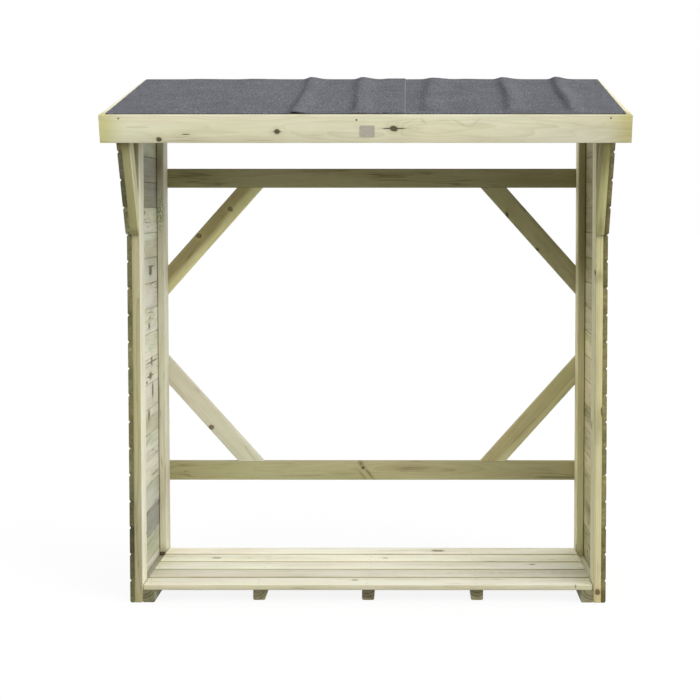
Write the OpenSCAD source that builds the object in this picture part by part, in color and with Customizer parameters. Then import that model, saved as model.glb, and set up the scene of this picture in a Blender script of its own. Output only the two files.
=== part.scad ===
// Open-fronted garden log store in softwood, sizes in millimetres, +Z up, front towards -Y.
// Two clad side frames carry a mono-pitch felted roof that falls to the front.
// Two rails with corner braces tie the back, and a slatted floor sits on five bearers.

/* [Overall] */
// Clear width between the two side frames
bay_w = 1610; // [1300:10:2200]
// Depth of a side frame from the front of its front post to the back of its back post
side_d = 570; // [460:5:760]
// Height of the roof boards' underside above the front face of the front posts
eaves_h = 1752; // [1450:1:1950]
// Pitch of the roof, falling to the front
roof_pitch = 13.5; // [9:0.5:18]

/* [Side frames] */
// Thickness of the timber in the side frames
post_w = 28; // [22:1:45]
// Depth of each post, front to back
post_d = 90; // [70:1:120]
// Rounding of the long edges of posts and rails
ease_r = 3; // [1:0.5:5]
// Height of the bottom rail between the posts of a side frame
foot_rail_h = 45; // [35:1:70]
// Depth of the sloping rail under the roof boards
top_rail_h = 45; // [35:1:70]

/* [Side cladding] */
// Thickness of a cladding board
clad_t = 16; // [14:1:22]
// Height that one cladding board covers
clad_pitch = 95; // [85:1:105]
// Height of the lowest board, ripped to suit
clad_first = 80; // [60:1:95]
// Height of the flared part of the front edge, taken to the nearest joint below the eaves
flare_h = 437; // [350:1:520]
// Step forward of the front edge where the flare starts
flare_step = 20; // [10:1:30]
// Clearance of the boards below the underside of the roof boards
clad_drop = 8; // [4:1:12]

/* [Board joints] */
// Open joint between the faces of neighbouring boards
joint_gap = 1; // [0.5:0.5:2]
// Depth of the chamfer at a board's edge
vee_d = 4; // [2:0.5:4]
// Width of the chamfer at a board's edge
vee_w = 5.5; // [3:0.5:8]
// Thickness of the tongue
tongue_t = 5; // [4:0.5:5]
// Length of the tongue
tongue_l = 6; // [4:0.5:7]
// Clearance of the tongue in its groove on each side and at the end
tongue_fit = 0.5; // [0.3:0.1:0.8]

/* [Roof brackets] */
// Width of the sloping bracket, square to its length
bracket_d = 70; // [50:1:90]

/* [Back rails and braces] */
// Thickness of rails and braces
rail_t = 28; // [22:1:40]
// Height of a back rail
rail_h = 75; // [60:1:95]
// Drop from the eaves to the upper rail's lower edge
upper_rail_drop = 264; // [220:1:330]
// Height of the lower rail's lower edge above the ground
lower_rail_z = 326; // [250:1:380]
// Width of a brace, square to its length
brace_w = 75; // [60:1:95]
// Distance from the post to the brace's far edge, along the rail
brace_reach = 374; // [300:1:450]
// Length of post left clear between the upper and the lower brace
brace_space = 251; // [180:1:400]

/* [Floor] */
// Thickness of a floor slat
slat_t = 18; // [14:1:22]
// Open gap between slats
slat_gap = 14; // [8:1:18]
// Rounding of the slats' long edges
slat_r = 5; // [2:0.5:6]
// Clearance between a slat's end and the post
slat_end = 2; // [1:0.5:4]
// Set-back of the front slat from the front of the posts
floor_back = 4; // [0:1:20]
// Clearance from the back slat to the back of the posts
floor_clear = 35; // [10:1:60]
// Side of the square bearers
bearer_s = 44; // [38:1:60]
// Rounding of the bearers' long edges
bearer_r = 6; // [2:0.5:8]
// Set-back of the end bearers from the front of the posts
bearer_end_back = 2; // [0:1:20]
// Set-back of the three middle bearers from the front of the posts
bearer_mid_back = 32; // [10:1:60]

/* [Roof] */
// Overhang of the roof beyond the cladding on each side
roof_over = 51; // [36:1:80]
// Forward reach of the roof beyond the front posts, at the underside of its boards
roof_front = 196; // [150:1:240]
// Reach of the roof boards beyond the back rails
roof_back = 6; // [3:1:60]
// Thickness of a roof board
deck_t = 16; // [14:1:22]
// Width that one roof board covers
deck_pitch = 95; // [85:1:105]
// Height of the fascia and barge boards
fascia_h = 95; // [80:1:120]
// Thickness of the fascia
fascia_t = 18; // [14:1:25]
// Rounding of the fascia's long edges
fascia_r = 2; // [1:0.5:4]
// Thickness of the barge boards
barge_t = 16; // [12:1:22]
// Width of the rafter under the middle of the roof
rafter_w = 28; // [22:1:45]
// Depth of that rafter
rafter_h = 45; // [35:1:70]

/* [Roof felt] */
// Thickness of the felt
felt_t = 3; // [2:0.5:4]
// Set-back of the felt from the outer faces of the barge boards
felt_in = 8; // [4:1:12]
// Position of the lap's upper edge, right of the middle
lap_x = 133; // [0:1:300]
// Width of the lap
lap_w = 60; // [40:1:100]
// Length of the felt turned down at the back, below the underside of the roof boards
felt_lip = 8; // [4:1:20]

/* [Hidden] */
$fn = 48;
// Faces of the side frames, measured from the middle
post_in = bay_w / 2;
post_out = post_in + post_w;
clad_out = post_out + clad_t;
roof_w = 2 * (clad_out + roof_over);
// Roof directions: run goes up the slope and rise is square to it
run_y = cos(roof_pitch);
run_z = sin(roof_pitch);
slope = tan(roof_pitch);
// Roof lengths along the slope from the front face of the front posts
run_front = roof_front / run_y;
run_deck = run_front - fascia_t;
run_back = (side_d + rail_t + roof_back) / run_y;
deck_l = run_deck + run_back;
deck_w = roof_w - 2 * barge_t;
deck_rows = ceil(deck_l / deck_pitch - 0.2);
edge_low = deck_t - fascia_h;
// Middle of the overall depth
y_min = (fascia_r - run_front) * run_y - (deck_t - fascia_r) * run_z - fascia_r;
y_max = (run_back + felt_t) * run_y + felt_lip * run_z;
y_shift = -(y_min + y_max) / 2;
// Flare of the side's front edge, up to the fascia's lower back edge
flare_row = round((eaves_h - flare_h - clad_first) / clad_pitch);
flare_z = clad_first + flare_row * clad_pitch;
flare_max = 2 * (eaves_h - flare_z);
flare_top_y = -run_deck * run_y - edge_low * run_z;
flare_top_z = eaves_h - run_deck * run_z + edge_low * run_y;
flare_tan = (-flare_step - flare_top_y) / (flare_top_z - flare_z);
flare_cos = cos(atan(flare_tan));
// Top of the cladding
clad_top = eaves_h + side_d * slope - clad_drop / run_y;
clad_rows = 1 + ceil((clad_top - clad_first) / clad_pitch);
// Floor
floor_end = side_d - floor_clear;
slat_w = (floor_end - floor_back - 4 * slat_gap) / 5;
bearer_step = (bay_w - bearer_s) / 4;
// Back rails and braces
upper_rail_z = eaves_h - upper_rail_drop;
brace_drop = (upper_rail_z - lower_rail_z - rail_h - brace_space) / 2;
brace_turn = atan(brace_drop / brace_reach);
brace_l = norm([brace_drop, brace_reach]);
// Grooves
groove_t = tongue_t + 2 * tongue_fit;
groove_l = tongue_l + 2 * tongue_fit;
// Colours
frame_col = [0.78, 0.74, 0.56];
clad_col = [0.72, 0.70, 0.50];
floor_col = [0.88, 0.85, 0.72];
trim_col = [0.82, 0.80, 0.62];
felt_col = [0.44, 0.44, 0.46];

// Shapes that several pieces share

// Rectangle with rounded corners, from the origin
module eased(a, b, r) {
    union() {
        translate([r, 0]) square([a - 2 * r, b]);
        translate([0, r]) square([a, b - 2 * r]);
        for (i = [r, a - r])
            for (j = [r, b - r])
                translate([i, j]) circle(r = r);
    }
}

// Bar along X, a deep in Y and b high
module bar_x(l, a, b, r) {
    rotate([90, 0, 90]) linear_extrude(height = l) eased(a, b, r);
}

// Bar along Y, a wide in X and b high
module bar_y(l, a, b, r) {
    translate([0, l, 0]) rotate([90, 0, 0]) linear_extrude(height = l) eased(a, b, r);
}

// Plate cut to an outline of depth and height points, t thick in +X
module side_plate(t, outline) {
    rotate([90, 0, 90]) linear_extrude(height = t) polygon(outline);
}

// Cross-section of a tongued board: cover along the first axis, thickness along the second
module board_section(cover, t, groove, tongue) {
    end = cover - joint_gap;
    mid = t / 2;
    tongue_pts = tongue ? [
        [end, mid - tongue_t / 2],
        [end + tongue_l, mid - tongue_t / 2],
        [end + tongue_l, mid + tongue_t / 2],
        [end, mid + tongue_t / 2]
    ] : [];
    groove_pts = groove ? [
        [0, mid + groove_t / 2],
        [groove_l, mid + groove_t / 2],
        [groove_l, mid - groove_t / 2],
        [0, mid - groove_t / 2]
    ] : [];
    polygon(concat(
        [[0, 0], [end, 0]],
        tongue_pts,
        [[end, t - vee_d], [end - vee_w, t], [vee_w, t], [0, t - vee_d]],
        groove_pts
    ));
}

// Moves a piece from side-frame depth to the shared frame
module placed() {
    translate([0, y_shift, 0]) children();
}

// Tilts a piece from the roof's own directions
module on_roof() {
    translate([0, y_shift, eaves_h]) rotate([roof_pitch, 0, 0]) children();
}

// Mirrors a right-hand piece to the left
module left() {
    mirror([1, 0, 0]) children();
}

// Side frame pieces, drawn for the right-hand side

// Post starting at depth y, its top cut to the roof
module post(y) {
    color(frame_col) placed() intersection() {
        translate([post_in, y, 0])
            linear_extrude(height = eaves_h + side_d * slope) eased(post_w, post_d, ease_r);
        translate([post_in - 1, 0, 0]) side_plate(post_w + 2, [
            [y - 1, -1],
            [y + post_d + 1, -1],
            [y + post_d + 1, eaves_h + (y + post_d + 1) * slope],
            [y - 1, eaves_h + (y - 1) * slope]
        ]);
    }
}

module bottom_rail() {
    color(frame_col) placed() translate([post_in, post_d, 0])
        bar_y(side_d - 2 * post_d, post_w, foot_rail_h, ease_r);
}

module top_rail() {
    drop = top_rail_h / run_y;
    y0 = post_d;
    y1 = side_d - post_d;
    color(frame_col) placed() translate([post_in, 0, 0]) side_plate(post_w, [
        [y0, eaves_h + y0 * slope - drop],
        [y1, eaves_h + y1 * slope - drop],
        [y1, eaves_h + y1 * slope],
        [y0, eaves_h + y0 * slope]
    ]);
}

// Sloping bracket between the front post and the roof, in line with the flare
module roof_bracket() {
    back = bracket_d / flare_cos;
    color(frame_col) placed() translate([post_in, 0, 0]) intersection() {
        side_plate(post_w, [
            [-flare_step, flare_z],
            [0, flare_z],
            [0, flare_z + (back - flare_step) / flare_tan],
            [back - flare_step - flare_max * flare_tan, flare_z + flare_max],
            [-flare_step - flare_max * flare_tan, flare_z + flare_max]
        ]);
        side_plate(post_w, [
            [flare_top_y, flare_top_z],
            [flare_top_y + edge_low * run_z, flare_top_z - edge_low * run_y],
            [1, eaves_h + slope],
            [1, flare_z - 1],
            [-flare_step - 1, flare_z - 1]
        ]);
    }
}

// One cladding board, counted from the ground, as long as y0 to y1
module clad_board(row, y0, y1) {
    z0 = row == 0 ? 0 : clad_first + (row - 1) * clad_pitch;
    cover = row == 0 ? clad_first : clad_pitch;
    translate([post_out, y0, z0]) rotate([-90, -90, 0]) linear_extrude(height = y1 - y0)
        board_section(cover, clad_t, row > 0, true);
}

module cladding() {
    color(clad_col) placed() {
        for (row = [0 : flare_row]) clad_board(row, 0, side_d);
        intersection() {
            for (row = [flare_row + 1 : clad_rows - 1])
                clad_board(row, flare_top_y - 40, side_d);
            translate([post_out - 1, 0, 0]) side_plate(clad_t + 2, [
                [-flare_step + 10 * flare_tan, flare_z - 10],
                [side_d + 1, flare_z - 10],
                [side_d + 1, clad_top + slope],
                [flare_top_y + (edge_low + clad_drop) * run_z, flare_top_z - (edge_low + clad_drop) * run_y],
                [flare_top_y, flare_top_z]
            ]);
        }
    }
}

// Back pieces

module back_rail(z) {
    color(frame_col) placed() translate([-post_out, side_d, z])
        bar_x(2 * post_out, rail_t, rail_h, ease_r);
}

// Brace under the right-hand end of a rail whose near edge is at height zero
module brace() {
    intersection() {
        translate([post_in - brace_reach, 0, 0]) rotate([0, brace_turn, 0])
            translate([-brace_w, 0, 0])
                bar_x(brace_l + 4 * brace_w, rail_t, brace_w, ease_r);
        translate([0, -1, -2 * brace_drop]) cube([post_out, rail_t + 2, 2 * brace_drop]);
    }
}

module upper_brace() {
    color(frame_col) placed() translate([0, side_d, upper_rail_z]) brace();
}

module lower_brace() {
    color(frame_col) placed() translate([0, side_d, lower_rail_z + rail_h])
        mirror([0, 0, 1]) brace();
}

// Floor pieces, counted from the left and from the front

module bearer(i) {
    back = (i == 1 || i == 5) ? bearer_end_back : bearer_mid_back;
    color(floor_col) placed() translate([-post_in + (i - 1) * bearer_step, back, 0])
        bar_y(floor_end - back, bearer_s, bearer_s, bearer_r);
}

module slat(i) {
    color(floor_col) placed()
        translate([-post_in + slat_end, floor_back + (i - 1) * (slat_w + slat_gap), bearer_s])
            bar_x(bay_w - 2 * slat_end, slat_w, slat_t, slat_r);
}

// Roof pieces

module roof_boards() {
    color(clad_col) on_roof() for (i = [0 : deck_rows - 1]) {
        last = i == deck_rows - 1;
        cover = last ? deck_l - i * deck_pitch + joint_gap : deck_pitch;
        translate([-deck_w / 2, -run_deck + i * deck_pitch, 0])
            rotate([90, 0, 90]) linear_extrude(height = deck_w)
                translate([0, deck_t]) mirror([0, 1]) board_section(cover, deck_t, i > 0, !last);
    }
}

// Rafter under the roof boards, its back end cut upright
module centre_rafter() {
    color(frame_col) on_roof() translate([-rafter_w / 2, 0, 0]) side_plate(rafter_w, [
        [-run_deck, -rafter_h],
        [run_back - rafter_h * slope, -rafter_h],
        [run_back, 0],
        [-run_deck, 0]
    ]);
}

module fascia() {
    color(trim_col) on_roof() translate([-roof_w / 2, -run_front, edge_low])
        bar_x(roof_w, fascia_t, fascia_h, fascia_r);
}

// Board along the roof's side edge, its back end cut upright
module barge_board() {
    color(trim_col) on_roof() translate([deck_w / 2, 0, 0]) side_plate(barge_t, [
        [-run_deck, edge_low],
        [run_back - fascia_h * slope, edge_low],
        [run_back, deck_t],
        [-run_deck, deck_t]
    ]);
}

// Felt sheet from its section across the roof, x0 and x1 the ends of its turned-down lip
module felt_sheet(section, x0, x1) {
    color(felt_col) on_roof() union() {
        translate([0, run_back + felt_t, deck_t]) rotate([90, 0, 0])
            linear_extrude(height = deck_l + felt_t) polygon(section);
        translate([x0, run_back, -felt_lip])
            cube([x1 - x0, felt_t, felt_lip + deck_t + felt_t]);
    }
}

module left_felt() {
    x0 = -roof_w / 2 + felt_in;
    x1 = lap_x - lap_w;
    felt_sheet([
        [x0, 0],
        [x1 - 4 * felt_t, 0],
        [x1, felt_t],
        [lap_x, felt_t],
        [lap_x, 2 * felt_t],
        [x1 - felt_t, 2 * felt_t],
        [x1 - 5 * felt_t, felt_t],
        [x0, felt_t]
    ], x0, x1 - 5 * felt_t);
}

module right_felt() {
    x0 = lap_x - lap_w;
    x1 = roof_w / 2 - felt_in;
    felt_sheet([[x0, 0], [x1, 0], [x1, felt_t], [x0, felt_t]], x0, x1);
}

// Every piece by name
left() post(0);  // left_front_post
post(0);  // right_front_post
left() post(side_d - post_d);  // left_back_post
post(side_d - post_d);  // right_back_post
left() bottom_rail();  // left_bottom_rail
bottom_rail();  // right_bottom_rail
left() top_rail();  // left_top_rail
top_rail();  // right_top_rail
left() cladding();  // left_cladding
cladding();  // right_cladding
left() roof_bracket();  // left_roof_bracket
roof_bracket();  // right_roof_bracket
back_rail(upper_rail_z);  // back_rail_upper
back_rail(lower_rail_z);  // back_rail_lower
left() upper_brace();  // upper_left_brace
upper_brace();  // upper_right_brace
left() lower_brace();  // lower_left_brace
lower_brace();  // lower_right_brace
bearer(1);  // floor_bearer_1
bearer(2);  // floor_bearer_2
bearer(3);  // floor_bearer_3
bearer(4);  // floor_bearer_4
bearer(5);  // floor_bearer_5
slat(1);  // floor_slat_1
slat(2);  // floor_slat_2
slat(3);  // floor_slat_3
slat(4);  // floor_slat_4
slat(5);  // floor_slat_5
roof_boards();
centre_rafter();
fascia();
left() barge_board();  // left_barge_board
barge_board();  // right_barge_board
left_felt();
right_felt();
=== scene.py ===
"""Open-fronted garden log store, dressed in treated softwood and mineral felt.

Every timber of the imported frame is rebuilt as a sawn, eased and trimmed board that carries its own grain.
Metres, +Z up, the open front towards -Y.
"""

import math
import random
from functools import partialmethod
from itertools import product

import bmesh
import bpy
from mathutils import Matrix, Vector


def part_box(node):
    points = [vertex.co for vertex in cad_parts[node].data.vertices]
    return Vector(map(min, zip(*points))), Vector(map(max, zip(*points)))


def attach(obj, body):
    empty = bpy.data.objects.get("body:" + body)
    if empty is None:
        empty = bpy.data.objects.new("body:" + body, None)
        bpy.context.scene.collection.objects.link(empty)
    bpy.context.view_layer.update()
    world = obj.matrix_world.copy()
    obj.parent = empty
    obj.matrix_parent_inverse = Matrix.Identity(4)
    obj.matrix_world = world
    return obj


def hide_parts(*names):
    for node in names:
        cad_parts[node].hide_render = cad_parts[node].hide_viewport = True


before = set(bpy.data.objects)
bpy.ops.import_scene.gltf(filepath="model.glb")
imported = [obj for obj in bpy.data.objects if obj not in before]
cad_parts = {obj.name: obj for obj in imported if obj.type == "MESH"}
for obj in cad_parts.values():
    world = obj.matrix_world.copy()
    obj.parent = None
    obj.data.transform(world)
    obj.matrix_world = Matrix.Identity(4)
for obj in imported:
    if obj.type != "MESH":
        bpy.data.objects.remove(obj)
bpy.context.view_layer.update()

X_AXIS, Y_AXIS, Z_AXIS = Vector((1, 0, 0)), Vector((0, 1, 0)), Vector((0, 0, 1))
SIDES = (("left", -1), ("right", 1))
FLOOR_ROWS = range(1, 6)

# Places read from the frame

front_low, front_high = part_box("right_front_post")
back_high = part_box("right_back_post")[1]
rail_low, rail_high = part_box("back_rail_upper")
sill_low, sill_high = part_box("back_rail_lower")

FRONT = front_low.y  # front face of the front posts
BACK = back_high.y  # back face of the back posts
POST_IN, POST_OUT = front_low.x, front_high.x
POST_MID, POST_T = (POST_IN + POST_OUT) / 2, POST_OUT - POST_IN
POST_D = front_high.y - front_low.y
CLAD_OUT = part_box("right_cladding")[1].x
SLOPE = (back_high.z - front_high.z) / (back_high.y - front_high.y)
PITCH = math.atan(SLOPE)
RISE, RUN = math.sin(PITCH), math.cos(PITCH)
EAVES = front_high.z - POST_D * SLOPE  # underside of the roof boards above FRONT
ROOF_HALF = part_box("fascia")[1].x

# Sections and covers of the boards

CLAD_T, CLAD_COVER, CLAD_FIRST = CLAD_OUT - POST_OUT, 0.095, 0.08
CLAD_DROP = 0.008  # from the roof boards down to the cladding
FLARE_ROW, FLARE_STEP = 13, 0.02  # the last upright board, and the next one's step out
BRACKET_D = 0.07
DECK_T, DECK_COVER = 0.016, 0.095
LEAST_COVER = 0.2  # share of a cover that still makes a board
FASCIA_H, FASCIA_T, BARGE_T = 0.095, 0.018, 0.016
ROOF_REACH, ROOF_BACK = 0.196, 0.006
RAFTER_W, RAFTER_H = 0.028, 0.045
TOP_RAIL_H, FOOT_RAIL_H = 0.045, 0.045
BRACE_W, BRACE_REACH, BRACE_SPACE = 0.075, 0.374, 0.251
JOINT, ARRIS, VEE_D, VEE_W = 0.001, 0.0015, 0.004, 0.0055
TONGUE_T, TONGUE_L, TONGUE_FIT = 0.005, 0.006, 0.0005
FELT_T, FELT_LIP = 0.003, 0.008
LAP_X, LAP_W = 0.133, 0.06

# Rounding of long edges, by timber, and of ends
FRAME_EASE, TRIM_EASE, SLAT_EASE, BEARER_EASE, END_EASE = 0.003, 0.002, 0.0018, 0.006, 0.0008

# Blanks, and spare that is sawn off
POST_SPARE, TOP_RAIL_SPARE, CLAD_SPARE = 0.2, 0.05, 0.04
BRACKET_BLANK, BRACKET_SPARE = 0.75, 0.15
BRACE_BLANK, BRACE_SPARE = 0.8, 0.1

BRACE_DROP = (rail_low.z - sill_high.z - BRACE_SPACE) / 2
RUN_FRONT = ROOF_REACH / RUN
RUN_DECK = RUN_FRONT - FASCIA_T
RUN_BACK = (rail_high.y - FRONT + ROOF_BACK) / RUN
ROOF_RUN = RUN_DECK + RUN_BACK
DECK_HALF = ROOF_HALF - BARGE_T
UP_SLOPE, OFF_SLOPE = Vector((0, RUN, RISE)), Vector((0, -RISE, RUN))


def roof_point(x, run, rise):
    """A point by its place across the roof, up the slope from FRONT, and off the boards."""
    return Vector((x, FRONT, EAVES)) + UP_SLOPE * run + OFF_SLOPE * rise


FLARE_FOOT = Vector((0, FRONT - FLARE_STEP, CLAD_FIRST + FLARE_ROW * CLAD_COVER))
FLARE_HEAD = roof_point(0, -RUN_DECK, DECK_T - FASCIA_H)
FLARE_DIR = (FLARE_HEAD - FLARE_FOOT).normalized()
FLARE_OUT = X_AXIS.cross(FLARE_DIR)


# Node wiring

class Wiring:
    """Adds nodes to one tree, so that a pattern reads like its formula."""

    def __init__(self, tree):
        self.tree = tree

    def fill(self, sockets, feeds):
        """Gives values or links to named sockets, or to the first ones in order."""
        for key, value in feeds.items() if isinstance(feeds, dict) else enumerate(feeds):
            socket = sockets[key]
            if isinstance(value, bpy.types.NodeSocket):
                self.tree.links.new(value, socket)
            elif socket.type == "RGBA" and len(value) == 3:
                socket.default_value = (*value, 1.0)
            else:
                socket.default_value = value

    def node(self, kind, feeds=(), **settings):
        """The outputs of a new node, set up and filled."""
        made = self.tree.nodes.new(f"ShaderNode{kind}")
        for key, value in settings.items():
            setattr(made, key, value)
        self.fill(made.inputs, feeds)
        return made.outputs

    def calc(self, operation, a, b=0.0, clamp=False):
        return self.node("Math", (a, b), operation=operation, use_clamp=clamp)[0]

    add = partialmethod(calc, "ADD")
    sub = partialmethod(calc, "SUBTRACT")
    mul = partialmethod(calc, "MULTIPLY")
    div = partialmethod(calc, "DIVIDE")
    least = partialmethod(calc, "MINIMUM")
    most = partialmethod(calc, "MAXIMUM")

    def bell(self, value, width):
        """One at zero, falling off smoothly over the width."""
        scaled = self.div(value, width)
        return self.calc("EXPONENT", self.mul(self.mul(scaled, scaled), -1.0))

    def vec(self, operation, a, b=(0, 0, 0), out=0):
        return self.node("VectorMath", (a, b), operation=operation)[out]

    times = partialmethod(vec, "MULTIPLY")

    def length(self, a):
        return self.vec("LENGTH", a, out=1)

    def xyz(self, x, y, z):
        return self.node("CombineXYZ", (x, y, z))[0]

    def split(self, vector):
        return self.node("SeparateXYZ", (vector,))

    def noise(self, place, scale, detail=2.0, rough=0.5):
        return self.node("TexNoise", {"Vector": place, "Scale": scale, "Detail": detail, "Roughness": rough})

    def streaks(self, place, along, across, detail=2.0, rough=0.5):
        """Noise drawn out along the first axis, by its scales along and across."""
        return self.noise(self.times(place, (along, across, across)), 1.0, detail, rough)

    def remap(self, value, low, high, to_low=0.0, to_high=1.0, smooth=True):
        kind = "SMOOTHSTEP" if smooth else "LINEAR"
        return self.node("MapRange", (value, low, high, to_low, to_high), interpolation_type=kind)[0]

    def mix(self, factor, a, b, blend="MIX"):
        return self.node("Mix", {0: factor, 6: a, 7: b}, data_type="RGBA", blend_type=blend)[2]

    def dyed(self, colour, share, tint):
        """The colour multiplied by a tint, by its share."""
        return self.mix(share, colour, tint, "MULTIPLY")

    def place(self):
        return self.node("TexCoord")["Object"]

    def attribute(self, name, output="Fac"):
        return self.node("Attribute", attribute_name=name)[output]

    def bump(self, height, strength, distance):
        return self.node("Bump", {"Strength": strength, "Distance": distance, "Height": height})[0]

    def seen(self):
        """One for rays from the camera, straight, mirrored or through glass."""
        path = self.node("LightPath")
        return self.most(path["Is Camera Ray"], self.most(path["Is Glossy Ray"], path["Is Transmission Ray"]))


def new_group(name, inputs, outputs):
    """An empty node group with sockets by kind, and the wiring, inputs and outputs to fill it."""
    group = bpy.data.node_groups.new(name, "ShaderNodeTree")
    for way, kinds in (("INPUT", inputs), ("OUTPUT", outputs)):
        for kind, labels in kinds.items():
            for label in labels:
                group.interface.new_socket(name=label, in_out=way, socket_type=f"NodeSocket{kind}")
    given, out = (group.nodes.new(f"NodeGroup{end}") for end in ("Input", "Output"))
    return group, Wiring(group), given.outputs, out.inputs


# Timber

DULL = 0.25  # specular level of timber and felt
FAR = 9.0  # nearness to a knot or moss that isn't there
KNOT_CELL_L, KNOT_CELL_W, KNOT_BIGGEST = 0.3, 0.12, 0.011
HEART_EDGE = (0.047, 0.041)  # distance from the pith over which heartwood begins
MOSS_COLOUR = (0.2, 0.27, 0.13)

# Tints that multiply the wood's colour
HEART_TINT = (0.72, 0.66, 0.55)
GREEN_TINT = (0.76, 0.8, 0.62)
SMUDGE_TINT = (0.5, 0.49, 0.42)
SPLIT_TINT = (0.36, 0.32, 0.24)
# Painted shade on narrow faces, partly their own colour
EDGE_SHADE_TINT = (0.6, 0.565, 0.41)
# Damp stains, and painted shade under the roof and at the foot of a post
STAIN_AND_SHADE_TINT = (0.5, 0.47, 0.4)
SOAK_TINT = (0.8, 0.77, 0.5)
END_TINT, GREEN_END_TINT = (0.285, 0.255, 0.15), (0.23, 0.24, 0.155)

# What each timber sets for itself, after its colours
OWN_LOOK = ("Ring width", "Ring depth", "Knot share", "Figure", "Mottle", "Edge shade", "Soak")


def timber_grain():
    """Rings about a wandering pith, heartwood, fibres, knots, cut ends and the treatment's green."""
    group, w, given, out = new_group("timber_grain", {
        "Vector": ("Grain", "Tone"), "Color": ("Early", "Late", "Knot"),
        "Float": ("Cut", "Narrow", "End", "Spot", "Moss", "Stain_and_shade", *OWN_LOOK),
    }, {"Color": ("Color",), "Float": ("Roughness", "Height")})
    add, sub, mul, mix = w.add, w.sub, w.mul, w.mix
    dyed, bell, remap = w.dyed, w.bell, w.remap
    grain = given["Grain"]
    x, y, z = w.split(grain)
    bright, green, heart_tint = w.split(given["Tone"])

    def waver(along, across, detail, rough=0.5):
        """Noise about zero, drawn out along the fibres."""
        return sub(w.streaks(grain, along, across, detail, rough)[0], 0.5)

    # Knots scattered along the board
    cell_place = w.xyz(mul(x, 1 / KNOT_CELL_L), mul(y, 1 / KNOT_CELL_W), 0.0)
    cell = w.node("TexVoronoi", {"Vector": cell_place, "Scale": 1.0}, voronoi_dimensions="2D")
    aside = w.vec("SUBTRACT", cell_place, cell["Position"])
    aside = w.times(aside, (KNOT_CELL_L * 0.7, KNOT_CELL_W, 0))
    chance = w.split(cell["Color"])[0]
    radius = remap(chance, sub(1.0, given["Knot share"]), 1.0, 0.0, KNOT_BIGGEST, smooth=False)
    radius = mul(radius, sub(1.0, add(given["Cut"], given["Narrow"]), clamp=True))
    ragged = waver(60, 90, 2.0)
    near = add(w.div(w.length(aside), w.most(radius, 0.0004)), mul(ragged, 0.6))
    near = w.least(near, add(given["Spot"], mul(ragged, 0.8)))
    push = mul(mul(radius, 1.4), bell(near, 2.0))
    push = add(push, mul(bell(given["Spot"], 2.2), 0.012))

    # Growth rings round a pith that sways along the board
    sway = w.split(w.vec("SUBTRACT", w.streaks(grain, 0.8, 2, 2.0)[1], (0.5, 0.5, 0.5)))
    ring_y = add(y, mul(sway[1], 0.07))
    ring_z = add(z, mul(sway[2], 0.07))
    flutter = waver(6, 45, 3.0)
    swirl = waver(3.2, 20, 1.0)
    wander = add(mul(flutter, 0.004), mul(mul(swirl, given["Figure"]), 0.02))
    reach = add(w.length(w.xyz(0.0, ring_y, ring_z)), add(push, wander))
    turn = w.div(reach, given["Ring width"])
    late = w.calc("POWER", w.calc("FRACT", turn), 2.0)
    year = w.node("TexWhiteNoise", {"W": w.calc("FLOOR", turn)}, noise_dimensions="1D")["Value"]
    late = mul(late, add(mul(year, 0.8), 0.2))
    heart = mul(remap(reach, *HEART_EDGE), heart_tint)

    # Fibres, patches, the treatment's green, smudges and splits
    fibre = waver(8, 420, 2.0)
    patch = waver(2.2, 14, 4.0, 0.6)
    stain = remap(w.streaks(grain, 2.4, 12, 4.0, 0.6)[0], 0.42, 0.68)
    smudge = remap(w.streaks(grain, 7, 34, 4.0, 0.65)[0], 0.57, 0.76)
    split = mul(bell(waver(3, 75, 1.0), 0.022), remap(patch, 0.01, 0.12))
    shade = add(mul(fibre, 0.45), mul(patch, given["Mottle"]))
    shade = add(mul(late, given["Ring depth"]), shade)
    colour = mix(add(shade, 0.12, clamp=True), given["Early"], given["Late"])
    colour = dyed(colour, heart, HEART_TINT)
    colour = dyed(colour, mul(stain, green), GREEN_TINT)
    colour = dyed(colour, mul(smudge, green), SMUDGE_TINT)
    colour = dyed(colour, mul(split, add(green, 0.25, clamp=True)), SPLIT_TINT)
    # Narrow faces darker and yellower: partly painted shade in slat gaps and grooves and on faces turned from
    # the light, partly the timber's own colour
    colour = dyed(colour, mul(given["Narrow"], given["Edge shade"]), EDGE_SHADE_TINT)

    # A slow drift of the hue
    drift = w.times(w.streaks(grain, 1.7, 10, 2.0)[1], (0.14, 0.11, 0.22))
    colour = w.times(colour, w.vec("ADD", drift, (0.93, 0.945, 0.89)))

    # Damp stain marks and painted shade, ragged along the fibres
    frayed = mul(mul(given["Stain_and_shade"], add(patch, flutter)), 0.9)
    colour = dyed(colour, add(given["Stain_and_shade"], frayed, clamp=True), STAIN_AND_SHADE_TINT)

    # Knots: a darker bruise round each, a brown core with a black rim
    core = remap(near, 1.15, 0.8)
    rim = mul(bell(sub(near, 0.9), 0.32), 0.55)
    colour = mix(mul(bell(near, 1.9), 0.55), colour, given["Late"])
    pale_knot = w.times(given["Knot"], (1.5, 1.5, 1.5))
    knot = mix(w.calc("FRACT", mul(near, 3.3)), given["Knot"], pale_knot)
    colour = mix(mul(core, 0.92), colour, knot)
    colour = mix(rim, colour, w.times(given["Knot"], (0.4, 0.4, 0.4)))

    # The treatment soaks in at the ends, most of all across the grain
    soaked = mul(bell(add(given["End"], mul(patch, 0.08)), 0.055), given["Soak"])
    colour = dyed(colour, soaked, SOAK_TINT)
    drunk = add(add(0.8, mul(late, 0.5)), mul(add(patch, ragged), 0.6))
    drunk = mul(given["Cut"], drunk)
    drunk = mul(drunk, add(0.6, mul(given["Soak"], 0.8)), clamp=True)
    colour = dyed(colour, drunk, mix(stain, END_TINT, GREEN_END_TINT))

    # Moss in specks, and the board's own brightness
    speckle = remap(w.streaks(grain, 150, 220, 2.0)[0], 0.42, 0.53)
    mossy = mul(mul(bell(given["Moss"], 1.0), speckle), 0.95)
    colour = mix(mossy, colour, MOSS_COLOUR)
    colour = w.times(colour, w.xyz(bright, bright, bright))

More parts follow.
